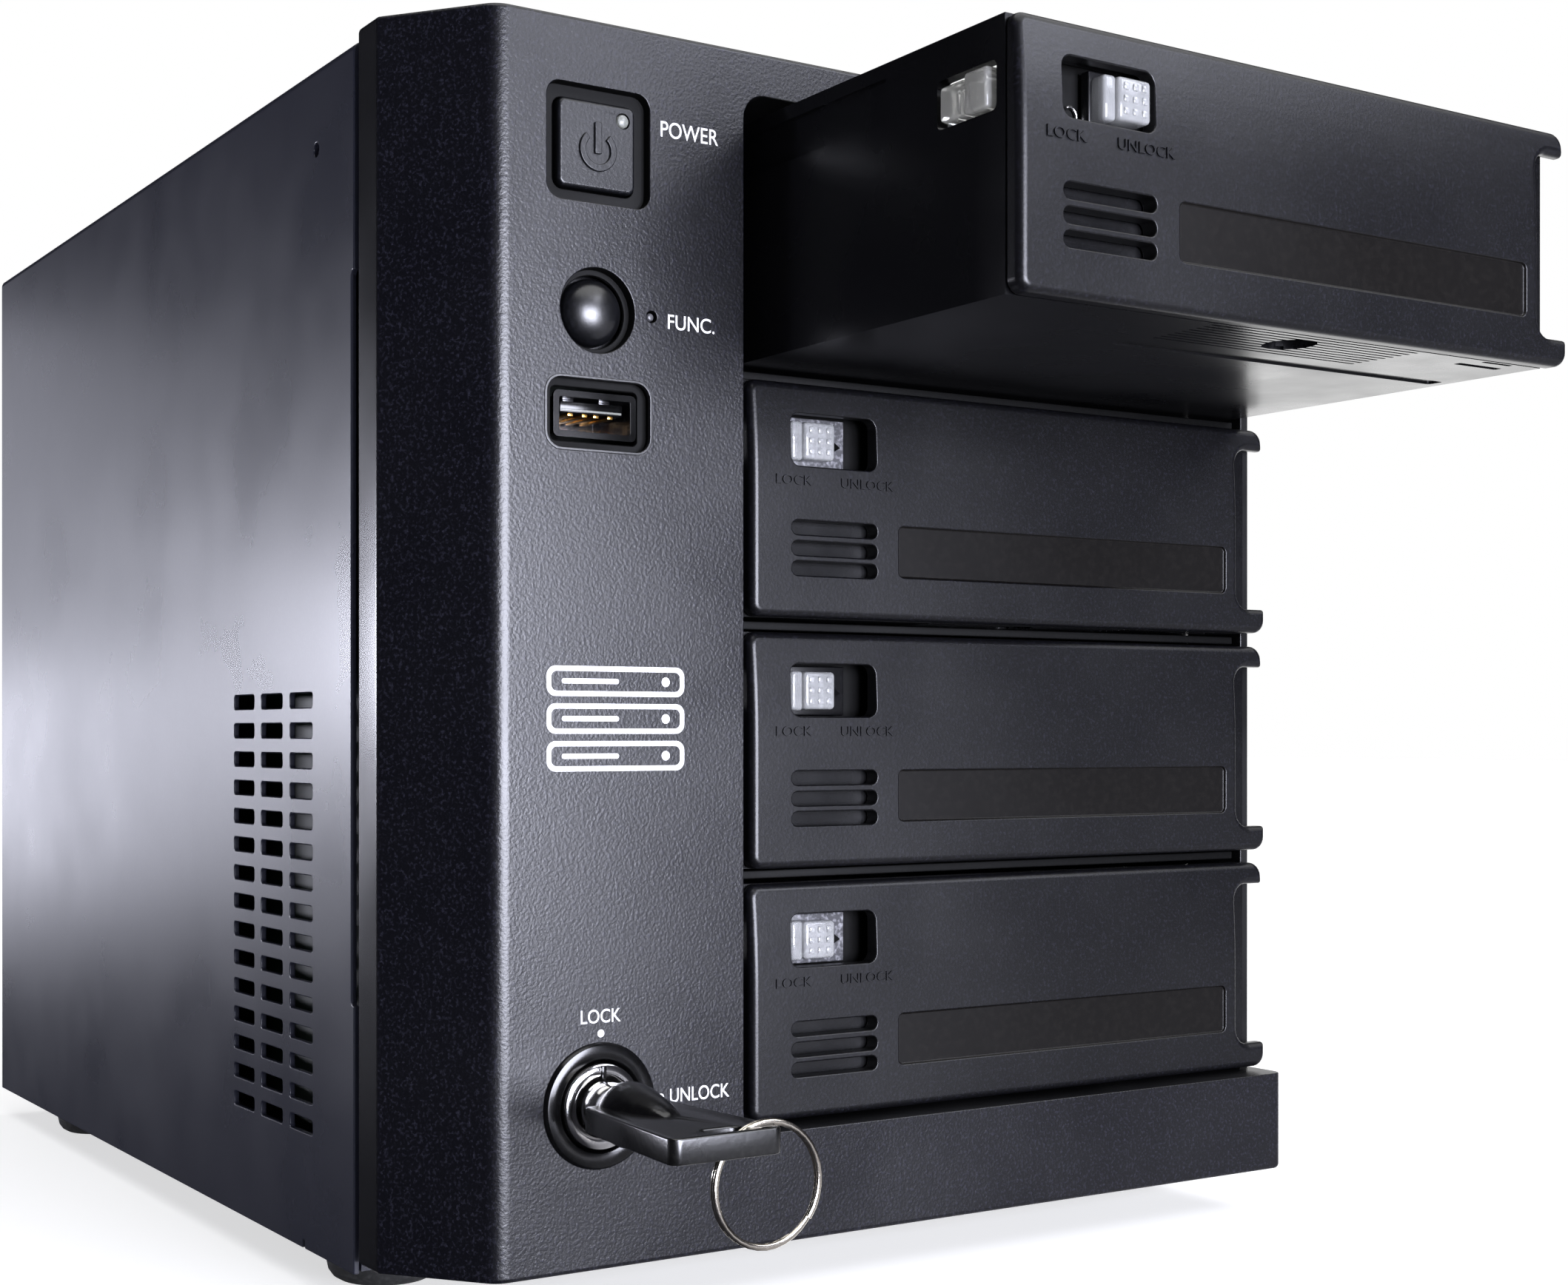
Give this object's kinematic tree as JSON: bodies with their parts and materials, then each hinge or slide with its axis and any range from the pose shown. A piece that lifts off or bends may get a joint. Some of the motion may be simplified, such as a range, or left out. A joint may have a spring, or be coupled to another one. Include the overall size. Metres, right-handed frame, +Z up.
{
  "type": "network storage enclosure",
  "caption": "Upright network storage box with lockable drive cartridges in the front, one drawn out, a key lock, push buttons and a rear fan.",
  "frame": {"origin": "on the ground under the middle of the bounding box, with the top cartridge drawn out", "axes": "+Z up; the front with the buttons and cartridges faces -Y; +X is to the right as seen from the front"},
  "size_m": [0.1786, 0.2948, 0.1986],
  "materials": {
    "charcoal_plastic": "satin, fine grain",
    "painted_steel": "satin",
    "plated_steel": "satin",
    "chrome": "polished",
    "black_plastic": "semi-gloss",
    "circuit_board": "matte",
    "drive_aluminium": "satin",
    "clear_plastic": "clear, glossy",
    "rubber": "matte",
    "grey_lens": "frosted",
    "dark_lens": "glossy"
  },
  "bodies": {
    "enclosure": {"bezel": "charcoal_plastic", "side_cover": "painted_steel", "base_tray": "painted_steel", "rear_panel": "painted_steel", "drive_cage": "painted_steel", "panel_screw_left": "plated_steel", "panel_screw_right": "plated_steel", "fan_guard": "plated_steel", "front_usb_shell": "plated_steel", "network_socket": "plated_steel", "rear_usb_socket": "plated_steel", "lock_nut": "plated_steel", "lock_body": "black_plastic", "fan_frame": "black_plastic", "power_inlet": "black_plastic", "front_usb_tongue": "black_plastic", "drive_socket_1": "black_plastic", "drive_socket_2": "black_plastic", "drive_socket_3": "black_plastic", "drive_socket_4": "black_plastic", "backplane": "circuit_board", "mainboard": "circuit_board", "memory_module": "circuit_board", "control_board": "circuit_board", "heatsink": "drive_aluminium", "foot_front_left": "rubber", "foot_front_right": "rubber", "foot_rear_left": "rubber", "foot_rear_right": "rubber", "func_light": "dark_lens"},
    "lock_plug": {"lock_plug": "chrome", "lock_cam": "plated_steel"},
    "key": {"key_shaft": "chrome", "key_head": "black_plastic"},
    "key_ring": {"key_ring": "plated_steel"},
    "power_button": {"power_button": "black_plastic", "power_light": "grey_lens"},
    "func_button": {"func_button": "black_plastic"},
    "fan_rotor": {"fan_rotor": "black_plastic"},
    "cartridge_1": {"cartridge_front_1": "charcoal_plastic", "cartridge_shell_1": "charcoal_plastic", "hard_drive_1": "drive_aluminium"},
    "latch_1": {"latch_slider_1": "clear_plastic"},
    "bolt_1": {"latch_bolt_1": "clear_plastic"},
    "cartridge_2": {"cartridge_front_2": "charcoal_plastic", "cartridge_shell_2": "charcoal_plastic", "hard_drive_2": "drive_aluminium"},
    "latch_2": {"latch_slider_2": "clear_plastic"},
    "bolt_2": {"latch_bolt_2": "clear_plastic"},
    "cartridge_3": {"cartridge_front_3": "charcoal_plastic", "cartridge_shell_3": "charcoal_plastic", "hard_drive_3": "drive_aluminium"},
    "latch_3": {"latch_slider_3": "clear_plastic"},
    "bolt_3": {"latch_bolt_3": "clear_plastic"},
    "cartridge_4": {"cartridge_front_4": "charcoal_plastic", "cartridge_shell_4": "charcoal_plastic", "hard_drive_4": "drive_aluminium"},
    "latch_4": {"latch_slider_4": "clear_plastic"},
    "bolt_4": {"latch_bolt_4": "clear_plastic"}
  },
  "joints": [
    {"name": "cartridge_slide_1", "type": "slide", "parent": "enclosure", "child": "cartridge_1", "axis": [0, -1, 0], "range_m": [-0.0654, 0.11]},
    {"name": "cartridge_slide_2", "type": "slide", "parent": "enclosure", "child": "cartridge_2", "axis": [0, -1, 0], "range_m": [0, 0.175]},
    {"name": "cartridge_slide_3", "type": "slide", "parent": "enclosure", "child": "cartridge_3", "axis": [0, -1, 0], "range_m": [0, 0.175]},
    {"name": "cartridge_slide_4", "type": "slide", "parent": "enclosure", "child": "cartridge_4", "axis": [0, -1, 0], "range_m": [0, 0.175]},
    {"name": "latch_slide_1", "type": "slide", "parent": "cartridge_1", "child": "latch_1", "axis": [1, 0, 0], "range_m": [-0.0077, 0]},
    {"name": "latch_slide_2", "type": "slide", "parent": "cartridge_2", "child": "latch_2", "axis": [1, 0, 0], "range_m": [0, 0.0077]},
    {"name": "latch_slide_3", "type": "slide", "parent": "cartridge_3", "child": "latch_3", "axis": [1, 0, 0], "range_m": [0, 0.0077]},
    {"name": "latch_slide_4", "type": "slide", "parent": "cartridge_4", "child": "latch_4", "axis": [1, 0, 0], "range_m": [0, 0.0077]},
    {"name": "bolt_slide_1", "type": "slide", "parent": "cartridge_1", "child": "bolt_1", "axis": [1, 0, 0], "range_m": [-0.0035, 0]},
    {"name": "bolt_slide_2", "type": "slide", "parent": "cartridge_2", "child": "bolt_2", "axis": [1, 0, 0], "range_m": [0, 0.0035]},
    {"name": "bolt_slide_3", "type": "slide", "parent": "cartridge_3", "child": "bolt_3", "axis": [1, 0, 0], "range_m": [0, 0.0035]},
    {"name": "bolt_slide_4", "type": "slide", "parent": "cartridge_4", "child": "bolt_4", "axis": [1, 0, 0], "range_m": [0, 0.0035]},
    {"name": "power_press", "type": "slide", "parent": "enclosure", "child": "power_button", "axis": [0, 1, 0], "range_m": [0, 0.0012], "stiffness_N_per_m": 600, "springref_m": -0.001},
    {"name": "func_press", "type": "slide", "parent": "enclosure", "child": "func_button", "axis": [0, 1, 0], "range_m": [0, 0.0012], "stiffness_N_per_m": 600, "springref_m": -0.001},
    {"name": "lock_turn", "type": "hinge", "parent": "enclosure", "child": "lock_plug", "pos_m": [-0.0595, -0.0864, 0.0332], "axis": [0, 1, 0], "range_deg": [0, 90]},
    {"name": "key_pull", "type": "slide", "parent": "lock_plug", "child": "key", "axis": [0, -1, 0], "range_m": [0, 0.012]},
    {"name": "ring_swing", "type": "hinge", "parent": "key", "child": "key_ring", "pos_m": [-0.0567, -0.11985, 0.0329], "axis": [1, 0, 0], "range_deg": [-15, 15]},
    {"name": "fan_spin", "type": "hinge", "parent": "enclosure", "child": "fan_rotor", "pos_m": [0.028, 0.133, 0.104], "axis": [0, 1, 0], "continuous": true}
  ],
  "couplings": [
    {"joint": "bolt_slide_1", "follows": "latch_slide_1", "ratio": 0.4545},
    {"joint": "bolt_slide_2", "follows": "latch_slide_2", "ratio": 0.4545},
    {"joint": "bolt_slide_3", "follows": "latch_slide_3", "ratio": 0.4545},
    {"joint": "bolt_slide_4", "follows": "latch_slide_4", "ratio": 0.4545}
  ]
}
